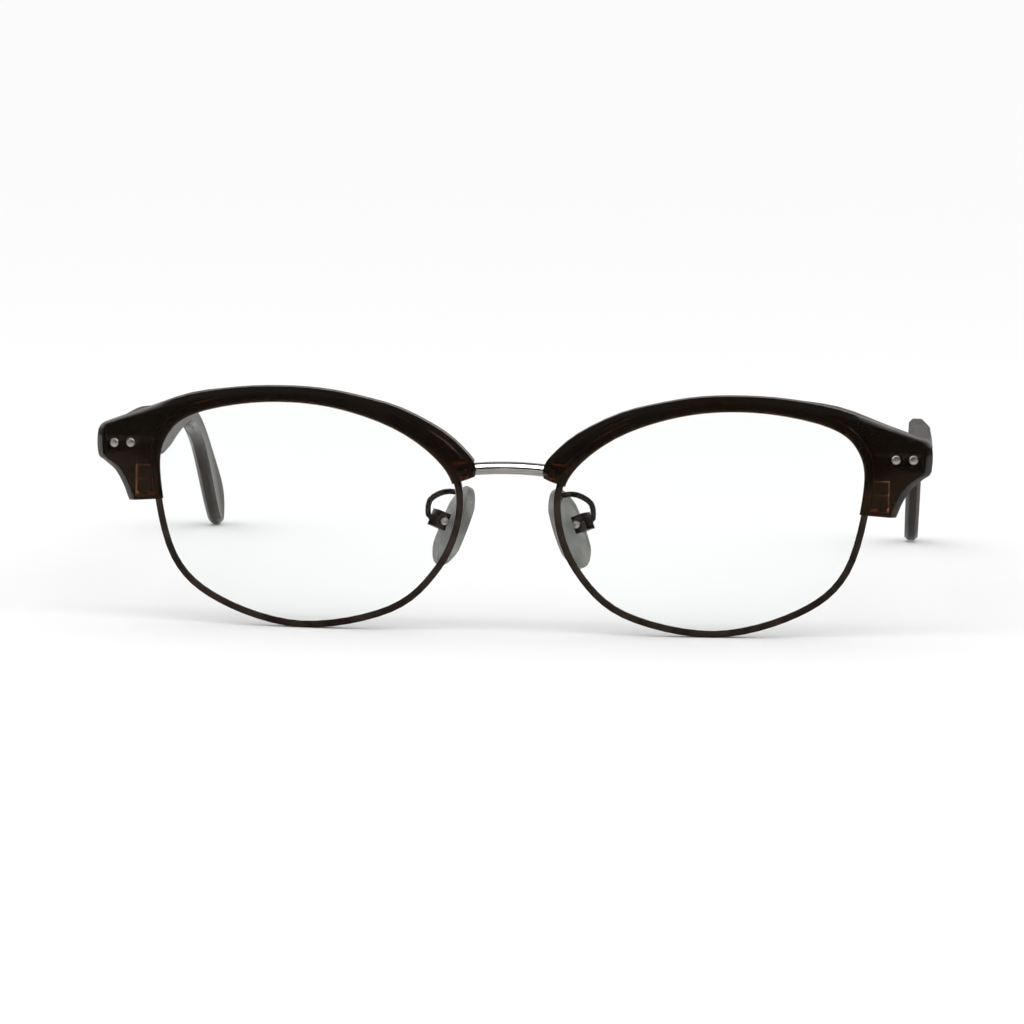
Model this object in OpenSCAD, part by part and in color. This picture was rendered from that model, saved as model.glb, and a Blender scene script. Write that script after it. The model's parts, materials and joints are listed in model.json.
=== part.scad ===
// Browline glasses, drawn open and standing on the rims and the temple tips.
// +Z is up, the front looks towards -Y, and left and right are as seen from the front.
// Each side is drawn once, on the right (+X), and mirrored for the left.

/* [Lenses] */
// Width of a lens, edge to edge
lens_w = 53; // [48:0.5:58]
// Height of a lens, edge to edge
lens_h = 39; // [34:0.5:44]
// Gap between the two lenses at the nose
bridge_gap = 17; // [15:0.5:21]
// Radius of the lens's middle surface
lens_r = 120; // [90:5:180]
// Angle at which each lens turns round towards the temple
wrap = 5; // [2:0.5:8]
// Thickness of a lens
lens_t = 1.8; // [1.6:0.1:2.6]
// Thickness of the tongue round a lens that sits in the rim's groove
tongue_t = 0.8; // [0.6:0.1:1]

/* [Rims] */
// Width of the rim seen from the front
rim_w = 1.2; // [1:0.1:1.6]
// Depth of the rim, front to back
rim_d = 1.8; // [1.5:0.1:2.4]
// Depth of the groove that the lens sits in
groove_d = 0.5; // [0.4:0.05:0.6]
// Height of the closing block above the lens's centre
block_z = 4.5; // [3:0.5:5.5]
// Length of one half of the closing block
block_h = 2.1; // [1.6:0.1:2.4]
// Gap where the rim and the block are split
split = 0.3; // [0.2:0.05:0.5]

/* [Brow pieces] */
// Overall width of the front
front_w = 145; // [138:1:150]
// How far the brow piece stands in front of the rim's middle
brow_front = 1.9; // [1.6:0.1:2.4]
// How far the brow piece reaches behind the rim's middle
brow_back = 2.3; // [1.8:0.1:3]
// Width of the bevel along the brow's front edge
brow_bevel = 1.1; // [0.6:0.1:1.4]
// Lip of the brow that covers the rim
brow_lip = 0.3; // [0.1:0.1:0.5]

/* [Bridge] */
// Radius of the bridge bar
bar_r = 1.1; // [0.9:0.1:1.3]
// Radius of the bar's arch
bar_arch = 60; // [40:5:120]
// Height of the bar's middle above the lens's centre
bar_z = 8.2; // [7.5:0.1:8.6]

/* [Nose pads] */
// Length of a nose pad
pad_l = 14.5; // [13:0.5:16]
// Width of a nose pad
pad_w = 8; // [7:0.5:9]
// Thickness of a nose pad at its middle
pad_t = 2.6; // [2.2:0.1:3]
// Distance of a pad's middle from the centre line
pad_x = 10; // [9.6:0.1:11]
// Distance of a pad's middle behind the lens's vertex
pad_y = 9; // [8.5:0.5:11]
// Height of a pad's middle above the lens's centre
pad_z = -2.8; // [-5:0.1:-2]
// Angle of the pad to the fore-and-aft line, seen from above
pad_splay = 30; // [20:1:35]
// Angle of the pad to the upright, seen from the front
pad_lean = 23; // [15:1:28]
// Radius of the pad arm's wire
wire_r = 0.5; // [0.4:0.05:0.6]

/* [Hinges] */
// Distance of the hinge axis inside the front's outer edge
hinge_in = 6; // [5.5:0.25:7]
// Distance of the hinge axis behind the lens's vertex
hinge_y = 13; // [12.5:0.25:14]
// Height of the hinge above the lens's centre
hinge_z = 10.4; // [9.5:0.1:11]
// Height of the five knuckles together
hinge_h = 5; // [4.5:0.25:5.5]
// Radius of a knuckle
knuckle_r = 1.25; // [1.1:0.05:1.4]
// Radius of the hinge screw
screw_r = 0.55; // [0.45:0.05:0.65]
// Tilt of the hinge axis that sets the fall of the temples
temple_fall = 2.35; // [0:0.05:6]
// Tilts of the left and right hinge axes that make folded temples cross
fold_rise = [3, 0.5]; // [0:0.5:4]
// Radius of a rivet
rivet_r = 0.75; // [0.6:0.05:0.9]
// Spacing of the two rivets in each endpiece
rivet_gap = 3; // [2.5:0.25:3.25]

/* [Temples] */
// Length of a temple along its middle, from the hinge axis to the tip
temple_l = 147; // [135:1:155]
// Length of the bend and the tip behind the ear, along the middle
ear_l = 55; // [50:1:60]
// Angle of the bend behind the ear
ear_bend = 34; // [25:1:45]
// Thickness of a temple at the hinge
temple_t = 3.8; // [3.4:0.1:4.4]
// Thickness of a temple at the tip
tip_t = 2.6; // [2.4:0.1:3.2]
// Width of the bevels along a temple
temple_bevel = 0.7; // [0.4:0.1:0.9]
// Thickness of the metal core inside a temple
core_t = 1; // [0.8:0.1:1.2]

/* [Clearances] */
// Gap between pieces that seat on each other
seat = 0.05; // [0.03:0.01:0.1]
// Gap between the moving knuckles, and round the hinge screw
run = 0.06; // [0.04:0.01:0.1]
// Gap between a temple's butt and the endpiece, open
butt_gap = 0.4; // [0.3:0.05:0.6]

/* [Hidden] */

acetate = "#2a170e";
gunmetal = "#4d4640";
silver = "#c9c9c6";
lens_x = (bridge_gap + lens_w) / 2;
lens_z = lens_h / 2 - groove_d + rim_w;
outer_x = front_w / 2;
hinge = [outer_x - hinge_in, hinge_y, lens_z + hinge_z];
// The lens sphere's centre, from the lens's own vertex
sphere_x = -lens_r * sin(wrap);
sphere_y = lens_r * cos(wrap);
// The gap of a soldered joint, and the width of the slots in the screws
solder = 0.02;
slot_w = 0.3;
// The bridge bar's middle behind the lens's vertex, its filed flat, and the screws through it
bar_y = 2;
bar_flat = 0.9;
bar_screw_x = 7.6;
brow_screw_r = 0.45;
brow_screw_l = 3;
brow_head_r = 0.9;
brow_head_h = 0.6;
// The front hinge leaf's plate, from the hinge axis, and the first of its rivets
leaf_in = 4;
leaf_out = 3.9;
leaf_y = -2.5;
leaf_t = 0.8;
rivet_x = -0.3;
// The plane of the endpiece's back, which the hinge leaf is let into
endpiece_back = hinge_y + leaf_y + leaf_t;
// The temple's inner face and its core, outboard of the hinge axis
temple_in = 2.1;
core_x = 3;
core_half = 1.7;
core_plate_l = 22;
core_wire = 0.55;
// Where the pad arm leaves the rim, and its bends from the pad's middle: towards the box, back, up
arm_t = 6.8;
arm_bends = [[2.9, -3, 5.3], [5.2, -2.2, 4.6], [6.6, -0.9, 2.4]];

// Points of the lens's edge, as shares of its half width and half height, from the temple side round
// over the top to the nose
lens_shape = [
    [1, 0.28], [0.95, 0.66], [0.735, 0.88], [0.28, 1], [-0.19, 0.965], [-0.64, 0.755], [-0.945, 0.4],
    [-0.996, 0], [-0.868, -0.46], [-0.56, -0.84], [0.02, -1], [0.56, -0.81], [0.87, -0.44]
];
// Stations of the brow, from the nose over the top: place along the lens's edge, width beyond it
brow_top = [
    [6.28, 3.2], [6.15, 3.9], [5.95, 3.9], [5.47, 3.4], [4.82, 2.7], [4.24, 2.1], [3.74, 1.9],
    [3.2, 1.8], [2.63, 2], [1.93, 2.6]
];
// The endpiece and the lobe below it: place along the lens's edge, then the outer edge's point from
// the front's outer edge and the hinge's height
endpiece = [
    [1.6, -8.3, 6], [1.35, -2.7, 4], [1.15, -0.5, 2.9], [0.95, 0, 0.6], [0.7, -0.3, -2.2],
    [0.5, -1.4, -3.1], [0.3, -3.5, -4.7], [0.05, -5, -7.1], [-0.15, -5.75, -8.9], [-0.32, -6.1, -9.7]
];
// Side shape of a temple: distance from the hinge as a share of the length, then the height above
// and below the middle line
temple_shape = [
    [0.08, 3, 2.7], [0.17, 3.2, 2.5], [0.245, 3.5, 3.4], [0.31, 3.6, 4.8], [0.375, 3.3, 5.8],
    [0.435, 2.9, 5.4], [0.5, 2.5, 4.1], [0.57, 2.1, 3], [0.64, 1.8, 2.3], [0.71, 1.8, 2.2],
    [0.78, 2.2, 2.4], [0.845, 3, 3.1], [0.91, 4.1, 4.2], [0.96, 4.7, 4.6], [0.985, 4.1, 3.9],
    [0.996, 2.9, 2.7], [1, 1.2, 1]
];

// A smooth curve through points p, open or closed, at place t counted in points
function at(p, i, closed) =
    closed ? p[(i + 10 * len(p)) % len(p)] : p[max(0, min(len(p) - 1, i))];
function curve(p, t, closed = false) =
    let (i = floor(t), f = t - i,
         a = at(p, i - 1, closed), b = at(p, i, closed), c = at(p, i + 1, closed),
         d = at(p, i + 2, closed))
    b + (c - a) * f / 2 + (2 * a - 5 * b + 4 * c - d) * f * f / 2
      + (3 * b - a - 3 * c + d) * f * f * f / 2;
function unit(v) = v / norm(v);

// A point on the lens's edge at place t, moved out by u from the rim's inner edge
function lens_raw(t) =
    let (s = curve(lens_shape, t, true)) [s[0] * lens_w / 2, s[1] * lens_h / 2];
function lens_point(t, u) =
    let (d = unit(lens_raw(t + 0.02) - lens_raw(t - 0.02)))
    lens_raw(t) + (u - groove_d) * [d[1], -d[0]];
lens_steps = 6;
function lens_outline(u) = [
    for (i = [0 : len(lens_shape) * lens_steps - 1]) lens_point(i / lens_steps, u)
];

// Depth of the lens's middle surface at x, z from the lens's centre
function depth(x, z) = sphere_y - sqrt(lens_r * lens_r - pow(x - sphere_x, 2) - z * z);
function clamp01(v) = max(0, min(1, v));
// Depth of the brow's back: it follows the rim, and thickens to a flat plane at the hinge
function brow_rear(x, z) =
    let (w = clamp01((x - 15) / 8) * clamp01((z - 4) / 3), d = depth(x, z) + brow_back)
    d + w * (endpiece_back - d);

// Places what is drawn from a lens's centre
module at_lens() { translate([lens_x, 0, lens_z]) children(); }
// Places what is drawn from the hinge axis, with the temple running along +Y
module at_hinge(rise) { translate(hinge) rotate([-temple_fall, 0, 0]) rotate([0, rise, 0]) children(); }
module at_pad() {
    translate([pad_x, pad_y, lens_z + pad_z]) rotate([0, 0, -pad_splay]) rotate([0, -pad_lean, 0]) children();
}
module on_left() { translate([0, -mid_y, 0]) mirror([1, 0, 0]) children(); }
module on_right() { translate([0, -mid_y, 0]) children(); }

// The space inside a lens's outline moved out by u, right through the front
module lens_prism(u) {
    rotate([90, 0, 0]) translate([0, 0, -20]) linear_extrude(30) polygon(lens_outline(u));
}
// The space between two spheres round the lens's centre of curvature
module shell(front, back) {
    translate([sphere_x, sphere_y, 0]) difference() {
        sphere(r = lens_r + front, $fn = 180);
        sphere(r = lens_r - back, $fn = 180);
    }
}
module lens_slab(u, t) { intersection() { lens_prism(u); shell(t / 2, t / 2); } }

// A solid through rings of points, all with the same count, and its two end faces. The points of a
// ring run clockwise, seen from the first ring
module loft(rings) {
    n = len(rings[0]);
    last = (len(rings) - 1) * n;
    polyhedron(
        [for (r = rings) for (p = r) p],
        concat(
            [[for (j = [0 : n - 1]) j]],
            [for (i = [0 : len(rings) - 2]) for (j = [0 : n - 1]) let (k = (j + 1) % n)
                for (f = [[i * n + j, (i + 1) * n + j, (i + 1) * n + k], [i * n + j, (i + 1) * n + k, i * n + k]]) f],
            [[for (j = [n - 1 : -1 : 0]) last + j]]
        )
    );
}

module lens() {
    color("#dfe6e4", 0.3) at_lens() {
        lens_slab(-seat, lens_t);
        lens_slab(groove_d - seat, tongue_t);
    }
}

module rim() {
    color(gunmetal) at_lens() difference() {
        intersection() { lens_prism(rim_w); shell(rim_d / 2, rim_d / 2); }
        lens_prism(0);
        lens_slab(groove_d, tongue_t + 2 * seat);
        translate([lens_w / 2 - 2, -5, block_z - split / 2]) cube([5, 20, split]);
    }
}

// Closing block: two halves soldered to the rim's ends, drawn together by a screw
block_w = 2.6;
block_d = 2.6;
block_x = lens_w / 2 + rim_w - groove_d;
block_y = depth(block_x + block_w / 2, block_z) - 0.4;
close_r = 0.5;
close_head_r = 0.85;
close_head_h = 0.6;
module at_close_screw() { translate([block_x + block_w - 1.1, block_y + block_d / 2, block_z]) children(); }
module closing_block() {
    color(gunmetal) at_lens() difference() {
        for (z = [-split / 2 - block_h, split / 2]) translate([block_x - 1, block_y, block_z + z])
            cube([block_w + 1, block_d, block_h]);
        lens_prism(rim_w + solder);
        at_close_screw() cylinder(h = 20, r = close_r + seat, center = true, $fn = 32);
    }
}
module closing_screw() {
    half = split / 2 + block_h;
    color(silver) at_lens() at_close_screw() difference() {
        union() {
            translate([0, 0, -half]) cylinder(h = 2 * half, r = close_r, $fn = 32);
            translate([0, 0, -half - close_head_h]) cylinder(h = close_head_h, r = close_head_r, $fn = 48);
        }
        translate([-2, -slot_w / 2, -half - close_head_h - 1]) cube([4, slot_w, 1.25]);
    }
}

module bar(r, reach) {
    sweep = asin(reach / bar_arch);
    translate([0, bar_y, lens_z + bar_z - bar_arch]) rotate([90, 0, 0]) rotate([0, 0, 90 - sweep])
        rotate_extrude(angle = 2 * sweep, $fn = 360) translate([bar_arch, 0]) circle(r, $fn = 48);
}
module at_brow_screw() {
    translate([bar_screw_x, bar_y + bar_flat, lens_z + bar_z - pow(bar_screw_x, 2) / (2 * bar_arch)])
        rotate([-90, 0, 0]) children();
}
module bridge() {
    color(silver) on_right() difference() {
        bar(bar_r, bridge_gap / 2 + 1.6);
        for (m = [0, 1]) mirror([m, 0, 0]) {
            at_lens() lens_prism(rim_w + solder);
            at_brow_screw() {
                translate([-2, -3, 0]) cube([5, 6, 3]);
                translate([0, 0, -8]) cylinder(h = 16, r = brow_screw_r + seat, $fn = 32);
            }
        }
    }
}
module brow_screw() {
    color(silver) at_brow_screw() difference() {
        union() {
            translate([0, 0, -brow_screw_l]) cylinder(h = brow_screw_l, r = brow_screw_r, $fn = 32);
            cylinder(h = brow_head_h, r = brow_head_r, $fn = 48);
        }
        translate([-2, -slot_w / 2, brow_head_h - 0.25]) cube([4, slot_w, 1]);
    }
}

// Sections across the brow, each from the lens side to the outer edge
brow_line = concat(
    [for (s = brow_top) concat(s[0], lens_point(s[0], groove_d + s[1]))],
    [for (s = endpiece) [s[0], outer_x - lens_x + s[1], hinge_z + s[2]]]
);
function brow_section(k) =
    let (s = curve(brow_line, k), p = lens_point(s[0], -brow_lip), q = [s[1], s[2]],
         d = unit(q - p), l = norm(q - p),
         across = [0, 0.5, l - brow_bevel, l, l, l - 0.4, 0.3, 0],
         front = [0.5, 0, 0, brow_bevel],
         rear = [-0.4, 0, 0, -0.3])
    [for (i = [0 : 7]) let (c = p + across[i] * d)
        [c[0], i < 4 ? depth(c[0], c[1]) - brow_front + front[i] : brow_rear(c[0], c[1]) + rear[i - 4], c[1]]];
brow_steps = 3;
module brow(rise) {
    wire = bar_z - pow(bar_screw_x, 2) / (2 * bar_arch);
    color(acetate) difference() {
        at_lens() loft([for (i = [(len(brow_line) - 1) * brow_steps : -1 : 0]) brow_section(i / brow_steps)]);
        // the rebate that the rim lies in
        at_lens() intersection() {
            lens_prism(rim_w + seat);
            translate([sphere_x, sphere_y, 0]) sphere(r = lens_r + max(rim_d, lens_t) / 2 + seat, $fn = 360);
        }
        // the pocket round the closing block and its screw
        at_lens() translate([block_x - 1.5, block_y - 0.3, block_z - split / 2 - block_h - close_head_h - 0.3])
            cube([block_w + 1.8, 12, 2 * block_h + split + close_head_h + 0.6]);
        // the channel that hooks over the bridge bar, and the hole for its screw
        translate([bar_screw_x - 4, bar_y - bar_r - 0.1, lens_z + wire - bar_r - 0.4])
            cube([6.5, 12, 2 * bar_r + 0.8]);
        at_brow_screw() translate([0, 0, -brow_screw_l - 0.1])
            cylinder(h = 8, r = brow_screw_r + seat, $fn = 32);
        // the recess for the hinge leaf, and the rivet holes
        at_hinge(rise) {
            translate([-leaf_in - seat, leaf_y - seat, -hinge_h / 2 - seat])
                cube([leaf_in + leaf_out + 2 * seat, 6, hinge_h + 2 * seat]);
            at_rivets() cylinder(h = 20, r = rivet_r + seat, center = true, $fn = 40);
        }
    }
}

// Front hinge leaf: a plate let into the endpiece's back, with three knuckles
module at_rivets() {
    for (x = [rivet_x, rivet_x + rivet_gap]) translate([x, leaf_y, 0]) rotate([90, 0, 0]) children();
}
module knuckles(slices) {
    for (k = slices) translate([0, 0, (k - 2.5) * hinge_h / 5 + run])
        linear_extrude(hinge_h / 5 - 2 * run) children();
}
module front_leaf(rise) {
    color(gunmetal) at_hinge(rise) difference() {
        union() {
            translate([-leaf_in, leaf_y, -hinge_h / 2]) cube([leaf_in + leaf_out, leaf_t, hinge_h]);
            knuckles([0, 2, 4]) {
                circle(knuckle_r, $fn = 48);
                translate([-knuckle_r * 0.9, leaf_y + leaf_t - 0.1]) square([knuckle_r * 1.8, -leaf_y - leaf_t + 0.1]);
            }
        }
        cylinder(h = 20, r = screw_r + run, center = true, $fn = 40);
        at_rivets() cylinder(h = 20, r = rivet_r + seat, center = true, $fn = 40);
    }
}
module rivets(rise) {
    color(silver) intersection() {
        at_hinge(rise) at_rivets() translate([0, 0, -leaf_t]) cylinder(h = 12, r = rivet_r, $fn = 48);
        translate([lens_x + sphere_x, sphere_y - brow_front, lens_z]) sphere(r = lens_r, $fn = 180);
    }
}
module hinge_screw(rise) {
    color(silver) at_hinge(rise) difference() {
        union() {
            cylinder(h = hinge_h, r = screw_r, center = true, $fn = 48);
            translate([0, 0, hinge_h / 2 + run]) cylinder(h = 0.6, r = 1, $fn = 48);
            translate([0, 0, hinge_h / 2 - 0.01]) cylinder(h = run + 0.02, r = screw_r, $fn = 48);
        }
        translate([-2, -slot_w / 2, hinge_h / 2 + run + 0.3]) cube([4, slot_w, 1]);
    }
}

// Temple hinge leaf: a plate let into the temple's inner face, two knuckles, and studs to the core
leaf_from = 1.7;
leaf_l = 8;
leaf_half = 2.1;
stud_r = 0.6;
module leaf_plate(gap) {
    x = temple_in - 0.6 - gap;
    translate([x, leaf_from - gap, -leaf_half - gap])
        cube([1 + 2 * gap, leaf_l - leaf_half + gap, 2 * leaf_half + 2 * gap]);
    translate([x, leaf_from + leaf_l - leaf_half, 0]) rotate([0, 90, 0])
        cylinder(h = 1 + 2 * gap, r = leaf_half + gap, $fn = 64);
}
module studs(gap) {
    for (y = [leaf_from + 2, leaf_from + leaf_l - leaf_half]) translate([temple_in, y, 0]) rotate([0, 90, 0])
        cylinder(h = core_x - temple_in - seat, r = stud_r + gap, $fn = 32);
}
module temple_leaf(rise) {
    color(gunmetal) at_hinge(rise) difference() {
        union() {
            leaf_plate(0);
            studs(0);
            knuckles([1, 3]) {
                circle(knuckle_r, $fn = 48);
                polygon([[0, knuckle_r], [0, -0.3], [knuckle_r, -0.3], [temple_in - 0.3, leaf_from + 0.2],
                         [temple_in - 0.3, leaf_from + 1.2]]);
            }
        }
        cylinder(h = 20, r = screw_r + run, center = true, $fn = 40);
    }
}

// The temple's middle line in its own plane: straight, round the bend, then straight to the tip
bend_from = temple_l - ear_l;
bend_l = 0.55 * ear_l;
bend_r = bend_l / ear_bend * 180 / PI;
function fall(s) = ear_bend * clamp01((s - bend_from) / bend_l);
function along(s) =
    let (a = fall(s), t = max(0, s - bend_from - bend_l))
    [min(s, bend_from) + bend_r * sin(a) + t * cos(a), -bend_r * (1 - cos(a)) - t * sin(a)];
function beside(s, h) = along(s) + h * [sin(fall(s)), cos(fall(s))];
function thick(s) = lookup(s / temple_l, [[0.14, temple_t], [0.65, (temple_t + tip_t) / 2 - 0.1], [1, tip_t]]);
butt = leaf_y + leaf_t + butt_gap;
// The middle of the open glasses, front to back, lies on the origin
tip_y = max([for (t = temple_shape) let (p = beside(t[0] * temple_l, t[1]))
    p[0] * cos(temple_fall) + p[1] * sin(temple_fall)]);
mid_y = (sphere_y - lens_r - lens_t / 2 + hinge_y + tip_y) / 2;
temple_line = concat([[butt / temple_l, 2.9, 2.9]], temple_shape);
function temple_section(k) =
    let (t = curve(temple_line, k), s = t[0] * temple_l, w = thick(s), b = temple_bevel,
         across = [0, b, w - b, w, w, w - b, b, 0],
         up = [-t[2] + b, -t[2], -t[2], -t[2] + b, t[1] - b, t[1], t[1], t[1] - b])
    [for (i = [0 : 7]) let (c = beside(s, up[i])) [temple_in + across[i], c[0], c[1]]];
temple_steps = 4;
module temple_body(rise) {
    color(acetate) at_hinge(rise) difference() {
        loft([for (i = [(len(temple_line) - 1) * temple_steps : -1 : 0]) temple_section(i / temple_steps)]);
        core_slab(seat);
        leaf_plate(seat);
        studs(seat);
    }
}

// The metal core: a plate with a pointed end near the hinge, and a strip from it to the tip
core_line = concat(
    [[butt + 0.3, core_half], [core_plate_l, core_half], [core_plate_l + 5, core_wire]],
    [for (i = [0 : 12]) [bend_from + (temple_l * 0.94 - bend_from) * i / 12, core_wire]]
);
module core_slab(gap) {
    n = len(core_line);
    translate([core_x - gap, 0, 0]) rotate([90, 0, 90]) linear_extrude(core_t + 2 * gap) polygon(concat(
        [for (i = [0 : n - 1]) beside(core_line[i][0] + (i == 0 ? -gap : i == n - 1 ? gap : 0), core_line[i][1] + gap)],
        [for (i = [n - 1 : -1 : 0]) beside(core_line[i][0] + (i == 0 ? -gap : i == n - 1 ? gap : 0), -core_line[i][1] - gap)]
    ));
}

// Nose pad: a domed plate with a tab that rocks on the pad screw
pad_dome = 32;
pad_roll = 14;
tab_x = 2.8;
tab_r = 1;
tab_t = 0.8;
pad_screw_r = 0.35;
box_x = [1.9, 4.4];
box_w = 2.4;
box_h = 3;
module nose_pad() {
    color("#c6c6c2", 0.6) at_pad() difference() {
        union() {
            intersection() {
                rotate([90, 0, 90]) translate([0, 0, -pad_t / 2]) linear_extrude(pad_t)
                    polygon([for (a = [0 : 10 : 350]) [pad_w / 2 * cos(a) * (1 - 0.12 * sin(a)), pad_l / 2 * sin(a)]]);
                translate([pad_t / 2 - pad_dome, 0, 0]) sphere(r = pad_dome, $fn = 256);
                translate([pad_dome - pad_t / 2, 0, 0]) sphere(r = pad_dome, $fn = 256);
                translate([pad_t / 2 - pad_roll, 0, 0]) cylinder(h = 2 * pad_l, r = pad_roll, center = true, $fn = 240);
                translate([pad_roll - pad_t / 2, 0, 0]) cylinder(h = 2 * pad_l, r = pad_roll, center = true, $fn = 240);
            }
            translate([0.8, -tab_t / 2, -0.8]) cube([tab_x - 0.8, tab_t, 1.6]);
            translate([tab_x, 0, 0]) rotate([90, 0, 0]) cylinder(h = tab_t, r = tab_r, center = true, $fn = 40);
        }
        translate([tab_x, 0, 0]) rotate([90, 0, 0]) cylinder(h = 4, r = pad_screw_r + run, center = true, $fn = 32);
    }
}
module pad_box() {
    color(gunmetal) at_pad() difference() {
        translate([box_x[0], -box_w / 2, -box_h / 2]) cube([box_x[1] - box_x[0], box_w, box_h]);
        translate([0, -tab_t / 2 - 0.1, -box_h]) cube([tab_x + tab_r + 0.25, tab_t + 0.2, 2 * box_h]);
        translate([tab_x, 0, 0]) rotate([90, 0, 0]) cylinder(h = 8, r = pad_screw_r + seat, center = true, $fn = 32);
    }
}
module pad_screw() {
    color(silver) at_pad() translate([tab_x, 0, 0]) rotate([90, 0, 0]) difference() {
        union() {
            cylinder(h = box_w, r = pad_screw_r, center = true, $fn = 32);
            translate([0, 0, box_w / 2]) cylinder(h = 0.5, r = 0.7, $fn = 40);
        }
        translate([-2, -slot_w / 2, box_w / 2 + 0.3]) cube([4, slot_w, 1]);
    }
}

module temple_core(rise) { color(silver) at_hinge(rise) core_slab(0); }

// Pad arm: a wire from the back of the rim, round behind the lens, to the pad box
function pad_place(v) =
    let (a = [v[0] * cos(pad_lean) - v[2] * sin(pad_lean), v[1],
              v[0] * sin(pad_lean) + v[2] * cos(pad_lean)])
    [pad_x + a[0] * cos(pad_splay) + a[1] * sin(pad_splay),
     pad_y - a[0] * sin(pad_splay) + a[1] * cos(pad_splay), pad_z + a[2]];
arm_foot = let (p = lens_point(arm_t, rim_w / 2)) [lens_x + p[0], depth(p[0], p[1]) + rim_d / 2 + 0.1, p[1]];
arm_line = concat(
    [arm_foot, arm_foot + [0, 1.6, 0.3]],
    [for (v = arm_bends) pad_place(v)],
    [pad_place([box_x[1] + 1, 0, 0]), pad_place([box_x[1] + solder, 0, 0])]
);
arm_steps = 3;
function arm_ring(k) =
    let (last = len(arm_line) - 1, p = curve(arm_line, k),
         t = k == 0 ? [0, 1, 0]
           : k == last ? unit(arm_line[last] - arm_line[last - 1])
           : unit(curve(arm_line, k + 0.05) - curve(arm_line, k - 0.05)),
         n = unit(cross(t, [1, 0, 1])), b = cross(t, n))
    [for (a = [0 : 45 : 315]) p + wire_r * (cos(a) * n + sin(a) * b)];
module pad_arm() {
    color(gunmetal) translate([0, 0, lens_z])
        loft([for (i = [0 : (len(arm_line) - 1) * arm_steps]) arm_ring(i / arm_steps)]);
}

bridge();
on_left() brow(fold_rise[0]);  // left_brow
on_left() rim();  // left_rim
on_left() lens();  // left_lens
on_left() closing_block();  // left_closing_block
on_left() closing_screw();  // left_closing_screw
on_left() brow_screw();  // left_brow_screw
on_left() rivets(fold_rise[0]);  // left_rivets
on_left() front_leaf(fold_rise[0]);  // left_front_hinge_leaf
on_left() temple_leaf(fold_rise[0]);  // left_temple_hinge_leaf
on_left() hinge_screw(fold_rise[0]);  // left_hinge_screw
on_left() temple_body(fold_rise[0]);  // left_temple
on_left() temple_core(fold_rise[0]);  // left_temple_core
on_left() pad_arm();  // left_pad_arm
on_left() pad_box();  // left_pad_box
on_left() nose_pad();  // left_nose_pad
on_left() pad_screw();  // left_pad_screw
on_right() brow(fold_rise[1]);  // right_brow
on_right() rim();  // right_rim
on_right() lens();  // right_lens
on_right() closing_block();  // right_closing_block
on_right() closing_screw();  // right_closing_screw
on_right() brow_screw();  // right_brow_screw
on_right() rivets(fold_rise[1]);  // right_rivets
on_right() front_leaf(fold_rise[1]);  // right_front_hinge_leaf
on_right() temple_leaf(fold_rise[1]);  // right_temple_hinge_leaf
on_right() hinge_screw(fold_rise[1]);  // right_hinge_screw
on_right() temple_body(fold_rise[1]);  // right_temple
on_right() temple_core(fold_rise[1]);  // right_temple_core
on_right() pad_arm();  // right_pad_arm
on_right() pad_box();  // right_pad_box
on_right() nose_pad();  // right_nose_pad
on_right() pad_screw();  // right_pad_screw
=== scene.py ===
import json
import math

import bpy
from mathutils import Matrix, Vector

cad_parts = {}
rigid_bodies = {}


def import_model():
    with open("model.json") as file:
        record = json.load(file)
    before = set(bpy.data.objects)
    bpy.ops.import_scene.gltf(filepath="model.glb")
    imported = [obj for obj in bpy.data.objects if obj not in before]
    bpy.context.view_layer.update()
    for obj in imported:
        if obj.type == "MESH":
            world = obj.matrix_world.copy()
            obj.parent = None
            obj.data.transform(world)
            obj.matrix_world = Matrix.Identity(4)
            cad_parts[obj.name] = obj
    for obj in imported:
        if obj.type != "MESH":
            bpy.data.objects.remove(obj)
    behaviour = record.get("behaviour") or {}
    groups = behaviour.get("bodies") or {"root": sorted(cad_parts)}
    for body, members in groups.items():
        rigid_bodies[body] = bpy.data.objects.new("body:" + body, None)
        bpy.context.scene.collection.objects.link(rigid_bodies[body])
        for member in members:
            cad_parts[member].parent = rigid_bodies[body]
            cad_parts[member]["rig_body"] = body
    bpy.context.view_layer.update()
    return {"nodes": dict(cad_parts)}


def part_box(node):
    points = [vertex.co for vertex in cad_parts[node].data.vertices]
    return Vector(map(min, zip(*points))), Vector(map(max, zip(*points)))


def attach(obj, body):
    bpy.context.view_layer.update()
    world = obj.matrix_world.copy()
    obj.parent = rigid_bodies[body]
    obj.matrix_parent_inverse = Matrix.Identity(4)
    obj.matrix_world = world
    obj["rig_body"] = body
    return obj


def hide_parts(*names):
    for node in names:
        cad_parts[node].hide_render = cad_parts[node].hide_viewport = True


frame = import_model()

mm = 0.001
sides = ("left", "right")


# one conversion for every colour, from the sRGB hex that is written to linear
def linearColour(hexText):
    channels = [int(hexText[i:i + 2], 16) / 255 for i in (1, 3, 5)]
    return [c / 12.92 if c <= 0.04045 else ((c + 0.055) / 1.055) ** 2.4 for c in channels] + [1.0]


# adds a node with its settings, and sets or links its inputs
def addNode(tree, kind, settings=None, inputs=None):
    node = tree.nodes.new(kind)
    for name, value in (settings or {}).items():
        setattr(node, name, value)
    for name, value in (inputs or {}).items():
        if isinstance(value, bpy.types.NodeSocket):
            tree.links.new(value, node.inputs[name])
        else:
            node.inputs[name].default_value = value
    return node


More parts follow.
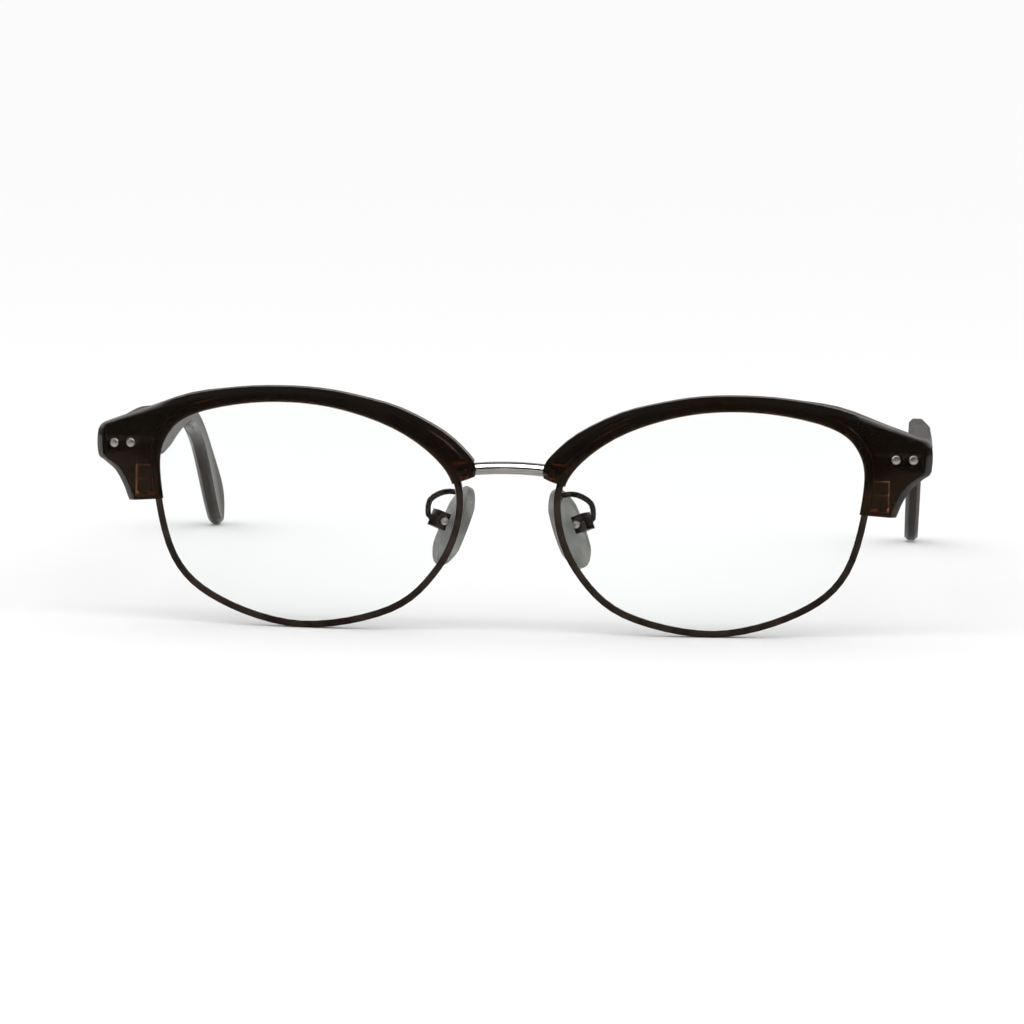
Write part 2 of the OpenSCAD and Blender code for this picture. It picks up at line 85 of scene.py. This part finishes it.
def newMaterial(name, surface):
    material = bpy.data.materials.new(name)
    material.use_nodes = True
    tree = material.node_tree
    tree.nodes.clear()
    shader = addNode(tree, "ShaderNodeBsdfPrincipled", {}, surface)
    addNode(tree, "ShaderNodeOutputMaterial", {}, {"Surface": shader.outputs["BSDF"]})
    place = addNode(tree, "ShaderNodeTexCoord").outputs["Object"]
    return material, tree, shader, place


# the texture scale at which one cell of the pattern is this many millimetres
def cellScale(sizeMm):
    return 1 / (sizeMm * mm)


noiseBand = {"low": 0.35, "high": 0.65}  # where most of a noise pattern's values lie


# one pattern gives the colour its tones, one the gloss its breaks and one the surface its fine relief
def dressSurface(tree, shader, look, tones, gloss, relief):
    shade = addNode(tree, "ShaderNodeMapRange", {}, {
        "Value": tones, "From Min": noiseBand["low"], "From Max": noiseBand["high"],
    }).outputs["Result"]
    colour = addNode(tree, "ShaderNodeMix", {"data_type": "RGBA"}, {
        0: shade, 6: linearColour(look["dark"]), 7: linearColour(look["bright"]),
    }).outputs[2]
    roughness = addNode(tree, "ShaderNodeMapRange", {}, {
        "Value": gloss, "To Min": look["smooth"], "To Max": look["rough"],
    }).outputs["Result"]
    bump = addNode(tree, "ShaderNodeBump", {}, {
        "Height": relief, "Strength": look["relief"], "Distance": look["reliefMm"] * mm,
    }).outputs["Normal"]
    tree.links.new(colour, shader.inputs["Base Color"])
    tree.links.new(roughness, shader.inputs["Roughness"])
    tree.links.new(bump, shader.inputs["Normal"])
    return {"colour": colour, "roughness": roughness}


# cellulose acetate cut from sheet and tumble polished: deep gloss, dark where thick, amber at thin edges
acetate = {
    "bright": "#dcc6ae", "dark": "#c2a284", "cloudMm": 16, "rippleMm": 2.5,
    "amber": "#c59f5f", "depthPerMm": 4.0, "clear": 0.99, "index": 1.49, "gloss": "#86694f",
    "smooth": 0.04, "rough": 0.09, "relief": 0.04, "reliefMm": 0.01,
    "edgeOnFrom": 0.7, "edgeOnTo": 0.95, "edgeOnRough": 0.6,
}


def polishedAcetate():
    material, tree, shader, place = newMaterial("polishedAcetate", {
        "IOR": acetate["index"], "Transmission Weight": acetate["clear"],
        "Specular Tint": linearColour(acetate["gloss"]),
    })
    clouds = addNode(tree, "ShaderNodeTexNoise", {}, {
        "Vector": place, "Scale": cellScale(acetate["cloudMm"]), "Detail": 3.0, "Distortion": 0.6,
    }).outputs["Fac"]
    ripple = addNode(tree, "ShaderNodeTexNoise", {}, {
        "Vector": place, "Scale": cellScale(acetate["rippleMm"]), "Detail": 2.0,
    }).outputs["Fac"]
    roughness = dressSurface(tree, shader, acetate, clouds, ripple, ripple)["roughness"]
    # seen edge on, the polish spreads, so that long sides don't mirror the table
    edgeOn = addNode(tree, "ShaderNodeLayerWeight", {}, {"Blend": 0.5}).outputs["Facing"]
    spread = addNode(tree, "ShaderNodeMapRange", {}, {
        "Value": edgeOn, "From Min": acetate["edgeOnFrom"], "From Max": acetate["edgeOnTo"],
        "To Max": acetate["edgeOnRough"],
    }).outputs["Result"]
    polish = addNode(tree, "ShaderNodeMath", {"operation": "MAXIMUM"}, {0: roughness, 1: spread})
    tree.links.new(polish.outputs["Value"], shader.inputs["Roughness"])
    depth = addNode(tree, "ShaderNodeVolumeAbsorption", {}, {
        "Color": linearColour(acetate["amber"]), "Density": acetate["depthPerMm"] / mm,
    })
    tree.links.new(depth.outputs["Volume"], tree.nodes["Material Output"].inputs["Volume"])
    return material


# nickel silver with a dark gunmetal plating: warm brown-black metal, polished, a little uneven in tone
gunmetal = {
    "bright": "#362d27", "dark": "#241d19", "wearMm": 3.0, "grainMm": 0.25,
    "smooth": 0.06, "rough": 0.14, "relief": 0.04, "reliefMm": 0.006,
}


def gunmetalPlating():
    material, tree, shader, place = newMaterial("gunmetalPlating", {"Metallic": 1.0})
    wear = addNode(tree, "ShaderNodeTexNoise", {}, {
        "Vector": place, "Scale": cellScale(gunmetal["wearMm"]), "Detail": 4.0,
    }).outputs["Fac"]
    grain = addNode(tree, "ShaderNodeTexNoise", {}, {
        "Vector": place, "Scale": cellScale(gunmetal["grainMm"]), "Detail": 2.0,
    }).outputs["Fac"]
    dressSurface(tree, shader, gunmetal, wear, wear, grain)
    return material


# drawn nickel silver bar, buffed and plated bright: clean reflections with faint streaks along the bar
nickel = {
    "bright": "#a5a29c", "dark": "#86837c", "streakMm": 0.35, "alongScale": 0.06,
    "smooth": 0.06, "rough": 0.14, "relief": 0.05, "reliefMm": 0.006,
}


def buffedNickel():
    material, tree, shader, place = newMaterial("buffedNickel", {"Metallic": 1.0})
    along = addNode(tree, "ShaderNodeMapping", {}, {
        "Vector": place, "Scale": (nickel["alongScale"], 1.0, 1.0),
    }).outputs["Vector"]
    streaks = addNode(tree, "ShaderNodeTexNoise", {}, {
        "Vector": along, "Scale": cellScale(nickel["streakMm"]), "Detail": 3.0,
    }).outputs["Fac"]
    dressSurface(tree, shader, nickel, streaks, streaks, streaks)
    return material


# stainless screws and rivets turned from bar: a satin face with fine tool marks
steel = {
    "bright": "#bcb9b3", "dark": "#8d8a84", "markMm": 0.18,
    "smooth": 0.2, "rough": 0.34, "relief": 0.1, "reliefMm": 0.01,
}


def turnedSteel():
    material, tree, shader, place = newMaterial("turnedSteel", {"Metallic": 1.0})
    marks = addNode(tree, "ShaderNodeTexNoise", {}, {
        "Vector": place, "Scale": cellScale(steel["markMm"]), "Detail": 2.0,
    }).outputs["Fac"]
    dressSurface(tree, shader, steel, marks, marks, marks)
    return material


# core pressed from brass-toned nickel silver: satin plate with one row of dimples near its lower edge; the
# dimples have no relief and are dark spots of painted shade, standing in for the shade in their hollows
core = {
    "bright": "#f0d9ac", "dark": "#c9a870", "dimpleShade": "#5a4422", "grainMm": 0.5,
    "pitchMm": 1.1, "rowMm": 2.85, "rowHalfMm": 0.28, "fallDegrees": 2.35,
    "smooth": 0.2, "rough": 0.32, "relief": 0.1, "reliefMm": 0.02,
}


def coreWithDimpleShade():
    material, tree, shader, place = newMaterial("coreWithDimpleShade", {"Metallic": 1.0})
    fall = math.radians(core["fallDegrees"])
    low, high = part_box("left_temple_core")
    row = high[2] * math.cos(fall) + low[1] * math.sin(fall) - core["rowMm"] * mm
    level = addNode(tree, "ShaderNodeMapping", {}, {
        "Vector": place, "Rotation": (fall, 0, 0),
    }).outputs["Vector"]
    parts = addNode(tree, "ShaderNodeSeparateXYZ", {}, {"Vector": level})
    inRow = addNode(tree, "ShaderNodeMath", {"operation": "COMPARE"}, {
        0: parts.outputs["Z"], 1: row, 2: core["rowHalfMm"] * mm,
    }).outputs["Value"]
    along = addNode(tree, "ShaderNodeMath", {"operation": "PINGPONG"}, {
        0: parts.outputs["Y"], 1: core["pitchMm"] * mm / 2,
    }).outputs["Value"]
    inDimple = addNode(tree, "ShaderNodeMath", {"operation": "LESS_THAN"}, {
        0: along, 1: core["pitchMm"] * mm / 4,
    }).outputs["Value"]
    dimpleShadeMask = addNode(tree, "ShaderNodeMath", {"operation": "MULTIPLY"}, {
        0: inRow, 1: inDimple,
    }).outputs["Value"]
    grain = addNode(tree, "ShaderNodeTexNoise", {}, {
        "Vector": level, "Scale": cellScale(core["grainMm"]), "Detail": 3.0,
    }).outputs["Fac"]
    satin = dressSurface(tree, shader, core, grain, grain, grain)["colour"]
    # painted shade: the row of dimples is laid into the colour as dark spots, in place of the shade their
    # hollows would hold
    colour = addNode(tree, "ShaderNodeMix", {"data_type": "RGBA"}, {
        0: dimpleShadeMask, 6: satin, 7: linearColour(core["dimpleShade"]),
    }).outputs[2]
    tree.links.new(colour, shader.inputs["Base Color"])
    return material


# demonstration lens, moulded in clear acrylic: flat gloss, a trace of green, fine handling haze
lens = {"tint": "#fcfefd", "gloss": "#5e5e5e", "index": 1.49, "hazeMm": 9, "hazeRough": 0.004}


def demoLens():
    material, tree, shader, place = newMaterial("demoLens", {
        "IOR": lens["index"], "Transmission Weight": 1.0, "Base Color": linearColour(lens["tint"]),
        "Specular Tint": linearColour(lens["gloss"]),
    })
    haze = addNode(tree, "ShaderNodeTexNoise", {}, {
        "Vector": place, "Scale": cellScale(lens["hazeMm"]), "Detail": 2.0,
    }).outputs["Fac"]
    roughness = addNode(tree, "ShaderNodeMapRange", {}, {"Value": haze, "To Max": lens["hazeRough"]})
    tree.links.new(roughness.outputs["Result"], shader.inputs["Roughness"])
    return material


# moulded silicone pad: soft grey, half clear, with a dulled skin
pad = {
    "bright": "#b2b2ae", "dark": "#8c8c88", "cloudMm": 3.5, "skinMm": 0.4, "index": 1.41, "clear": 0.55,
    "smooth": 0.18, "rough": 0.3, "relief": 0.08, "reliefMm": 0.02,
}


def mouldedSilicone():
    material, tree, shader, place = newMaterial("mouldedSilicone", {
        "IOR": pad["index"], "Transmission Weight": pad["clear"],
    })
    clouds = addNode(tree, "ShaderNodeTexNoise", {}, {
        "Vector": place, "Scale": cellScale(pad["cloudMm"]), "Detail": 3.0,
    }).outputs["Fac"]
    skin = addNode(tree, "ShaderNodeTexNoise", {}, {
        "Vector": place, "Scale": cellScale(pad["skinMm"]), "Detail": 2.0,
    }).outputs["Fac"]
    dressSurface(tree, shader, pad, clouds, skin, skin)
    return material


# which finish each kind of piece has, how far its edges are rounded and what counts as an edge
finishes = {
    "brow": {"material": polishedAcetate(), "slot": "acetate", "roundMm": 0.25, "sharpDegrees": 33},
    "rim": {"material": gunmetalPlating(), "slot": "rim_metal", "roundMm": 0.3, "sharpDegrees": 40},
    "bridge": {"material": buffedNickel(), "slot": "bridge_metal", "roundMm": 0.1, "sharpDegrees": 40},
    "screw": {"material": turnedSteel(), "slot": "screw_steel", "roundMm": 0.08, "sharpDegrees": 40},
    "temple_core": {"material": coreWithDimpleShade(), "slot": "core_metal", "roundMm": 0.12, "sharpDegrees": 40},
    "lens": {"material": demoLens(), "slot": "lens", "roundMm": 0.0, "sharpDegrees": 40},
    "nose_pad": {"material": mouldedSilicone(), "slot": "nose_pad", "roundMm": 0.45, "sharpDegrees": 40},
}
sameFinish = {
    "temple": "brow", "closing_block": "rim", "front_hinge_leaf": "rim", "temple_hinge_leaf": "rim",
    "pad_arm": "rim", "pad_box": "rim", "closing_screw": "screw", "brow_screw": "screw", "rivets": "screw",
    "hinge_screw": "screw", "pad_screw": "screw",
}
print("materials are made")


def finishOf(nodeName):
    kind = nodeName.split("_", 1)[1] if nodeName.split("_")[0] in sides else nodeName
    return finishes[sameFinish.get(kind, kind)], kind


def selectOnly(piece):
    bpy.ops.object.select_all(action="DESELECT")
    piece.select_set(True)
    bpy.context.view_layer.objects.active = piece


# a merged copy of a node's own mesh, with its edges eased as tumbling and buffing leave them
easing = {"mergeMm": 0.002, "flatDegrees": 0.4, "segments": 3}


def easedCopy(nodeName, roundMm, sharpDegrees):
    node = frame["nodes"][nodeName]
    piece = bpy.data.objects.new("eased_" + nodeName, node.data.copy())
    bpy.context.scene.collection.objects.link(piece)
    selectOnly(piece)
    bpy.ops.object.mode_set(mode="EDIT")
    bpy.ops.mesh.select_all(action="SELECT")
    bpy.ops.mesh.remove_doubles(threshold=easing["mergeMm"] * mm)
    if roundMm > 0:
        bpy.ops.mesh.dissolve_limited(angle_limit=math.radians(easing["flatDegrees"]))
    bpy.ops.object.mode_set(mode="OBJECT")
    if roundMm > 0:
        bevel = piece.modifiers.new("easedEdges", "BEVEL")
        bevel.width = roundMm * mm
        bevel.segments = easing["segments"]
        bevel.limit_method = "ANGLE"
        bevel.angle_limit = math.radians(sharpDegrees)
        bevel.harden_normals = False
        bpy.ops.object.modifier_apply(modifier=bevel.name)
    bpy.ops.object.shade_smooth_by_angle(angle=math.radians(sharpDegrees))
    return piece


# a lens's two faces lie on spheres round one centre, so their shading follows the true curve
lensCurve = {"radiusMm": 120, "thickMm": 1.8, "wrapDegrees": 5, "faceOn": 0.95}


def trueLensShading(piece, nodeName):
    low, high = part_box(nodeName)
    sign = 1 if low[0] + high[0] > 0 else -1
    wrap = math.radians(lensCurve["wrapDegrees"])
    centre = Vector((
        (low[0] + high[0]) / 2 - sign * lensCurve["radiusMm"] * mm * math.sin(wrap),
        low[1] + (lensCurve["radiusMm"] + lensCurve["thickMm"] / 2) * mm,
        (low[2] + high[2]) / 2,
    ))
    mesh = piece.data
    normals = []
    for face in mesh.polygons:
        for index in face.vertices:
            outward = (mesh.vertices[index].co - centre).normalized()
            facing = face.normal.dot(outward)
            if abs(facing) > lensCurve["faceOn"]:
                normals.append(outward * math.copysign(1, facing))
            else:
                normals.append(face.normal.copy())
    mesh.normals_split_custom_set(normals)


for nodeName, node in sorted(frame["nodes"].items()):
    finish, kind = finishOf(nodeName)
    piece = easedCopy(nodeName, finish["roundMm"], finish["sharpDegrees"])
    if kind == "lens":
        trueLensShading(piece, nodeName)
    piece.data.materials.clear()
    piece.data.materials.append(finish["material"])
    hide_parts(nodeName)
    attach(piece, node["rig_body"])
    node.data.materials.clear()
    node.data.materials.append(finish["material"])
print("the pieces are eased and finished")

# a table of matt white laminate, which runs back past the view: pale and without gloss
table = {"sizeM": 30, "colour": "#fcfcfc", "rough": 0.9}


def paleTable():
    bpy.ops.object.select_all(action="DESELECT")
    bpy.ops.mesh.primitive_plane_add(size=table["sizeM"], location=(0, 0, 0))
    floor = bpy.context.active_object
    floor.name = "paleTable"
    material = newMaterial("mattLaminate", {
        "Base Color": linearColour(table["colour"]), "Roughness": table["rough"], "Specular IOR Level": 0.0,
    })[0]
    floor.data.materials.append(material)


paleTable()

# one strip lamp overhead and one to each side
lamps = [
    {"name": "overheadStrip", "place": (0, -0.3, 0.7), "widthM": 0.9, "heightM": 0.05, "watts": 0.5},
    {"name": "leftStrip", "place": (-0.7, -0.45, 0.35), "widthM": 0.05, "heightM": 0.6, "watts": 0.25},
    {"name": "rightStrip", "place": (0.75, -0.35, 0.3), "widthM": 0.05, "heightM": 0.6, "watts": 0.3},
]
lampAim = Vector((0, -0.06, 0.02))


def studioLamp(settings):
    data = bpy.data.lights.new(settings["name"], "AREA")
    data.shape = "RECTANGLE"
    data.size = settings["widthM"]
    data.size_y = settings["heightM"]
    data.energy = settings["watts"]
    lamp = bpy.data.objects.new(settings["name"], data)
    bpy.context.scene.collection.objects.link(lamp)
    lamp.location = settings["place"]
    lamp.rotation_euler = (lampAim - Vector(settings["place"])).to_track_quat("-Z", "Y").to_euler()


for settings in lamps:
    studioLamp(settings)

# the room lights everything at one level, and gloss shows it dark overhead and darkest at the camera
studio = {
    "level": 0.99, "front": 0.03, "overhead": 0.2, "overheadFrom": 0.15, "overheadTo": 0.75,
    "behind": 0.9, "behindFrom": 0.2, "behindTo": 0.9, "softboxFade": 0.03,
}
softboxes = [  # seen in gloss alone
    {"way": (0, -0.6, 0.8), "edge": 0.88, "strength": 9},
    {"way": (-0.6, -0.35, 0.72), "edge": 0.94, "strength": 4},
    {"way": (0.6, -0.35, 0.72), "edge": 0.94, "strength": 4},
]


def studioWorld():
    world = bpy.data.worlds.new("paleStudio")
    bpy.context.scene.world = world
    world.use_nodes = True
    tree = world.node_tree
    tree.nodes.clear()
    way = addNode(tree, "ShaderNodeTexCoord").outputs["Generated"]
    parts = addNode(tree, "ShaderNodeSeparateXYZ", {}, {"Vector": way})
    overhead = addNode(tree, "ShaderNodeMapRange", {"interpolation_type": "SMOOTHSTEP"}, {
        "Value": parts.outputs["Z"], "From Min": studio["overheadFrom"], "From Max": studio["overheadTo"],
        "To Max": studio["overhead"],
    }).outputs["Result"]
    behind = addNode(tree, "ShaderNodeMapRange", {"interpolation_type": "SMOOTHSTEP"}, {
        "Value": parts.outputs["Y"], "From Min": studio["behindFrom"], "From Max": studio["behindTo"],
        "To Max": studio["behind"],
    }).outputs["Result"]
    inGloss = addNode(tree, "ShaderNodeMath", {"operation": "MAXIMUM"}, {
        0: overhead, 1: behind,
    }).outputs["Value"]
    inGloss = addNode(tree, "ShaderNodeMath", {"operation": "MAXIMUM"}, {
        0: inGloss, 1: studio["front"],
    }).outputs["Value"]
    for box in softboxes:
        facing = addNode(tree, "ShaderNodeVectorMath", {"operation": "DOT_PRODUCT"}, {
            0: way, 1: Vector(box["way"]).normalized(),
        }).outputs["Value"]
        glow = addNode(tree, "ShaderNodeMapRange", {"interpolation_type": "SMOOTHSTEP"}, {
            "Value": facing, "From Min": box["edge"], "From Max": box["edge"] + studio["softboxFade"],
            "To Max": box["strength"],
        }).outputs["Result"]
        inGloss = addNode(tree, "ShaderNodeMath", {"operation": "MAXIMUM"}, {
            0: inGloss, 1: glow,
        }).outputs["Value"]
    rays = addNode(tree, "ShaderNodeLightPath")
    light = addNode(tree, "ShaderNodeMix", {"data_type": "FLOAT"}, {
        0: rays.outputs["Is Glossy Ray"], 2: studio["level"], 3: inGloss,
    }).outputs[0]
    seen = addNode(tree, "ShaderNodeMath", {"operation": "MAXIMUM"}, {
        0: rays.outputs["Is Camera Ray"], 1: rays.outputs["Is Transmission Ray"],
    }).outputs["Value"]
    strength = addNode(tree, "ShaderNodeMix", {"data_type": "FLOAT"}, {
        0: seen, 2: light, 3: 1.0,
    }).outputs[0]
    background = addNode(tree, "ShaderNodeBackground", {}, {
        "Color": (1, 1, 1, 1), "Strength": strength,
    })
    addNode(tree, "ShaderNodeOutputWorld", {}, {"Surface": background.outputs["Background"]})


studioWorld()
bpy.context.scene.view_settings.view_transform = "Standard"
print("the table and the lights are set")

# a long lens a little to the right of the middle and a little above
photoCamera = {
    "sideDegrees": 3.856, "riseDegrees": 6.502, "rollDegrees": 0.932, "distanceM": 0.964,
    "aim": (0.00019, -0.07, 0.02029), "lensMm": 196.1, "sensorMm": 36, "nearM": 0.05, "farM": 100,
}


def photoView():
    data = bpy.data.cameras.new("photoCamera")
    data.lens = photoCamera["lensMm"]
    data.sensor_width = photoCamera["sensorMm"]
    data.clip_start = photoCamera["nearM"]
    data.clip_end = photoCamera["farM"]
    camera = bpy.data.objects.new("photoCamera", data)
    bpy.context.scene.collection.objects.link(camera)
    side = math.radians(photoCamera["sideDegrees"])
    rise = math.radians(photoCamera["riseDegrees"])
    roll = math.radians(photoCamera["rollDegrees"])
    back = Vector((math.sin(side) * math.cos(rise), -math.cos(side) * math.cos(rise), math.sin(rise)))
    right = (-back).cross(Vector((0, 0, 1))).normalized()
    up = right.cross(-back)
    turnedRight = math.cos(roll) * right + math.sin(roll) * up
    turnedUp = math.cos(roll) * up - math.sin(roll) * right
    turn = Matrix((turnedRight, turnedUp, back)).transposed().to_4x4()
    place = Vector(photoCamera["aim"]) + photoCamera["distanceM"] * back
    camera.matrix_world = Matrix.Translation(place) @ turn
    bpy.context.scene.camera = camera


photoView()
bpy.context.view_layer.update()
print("the camera is set")
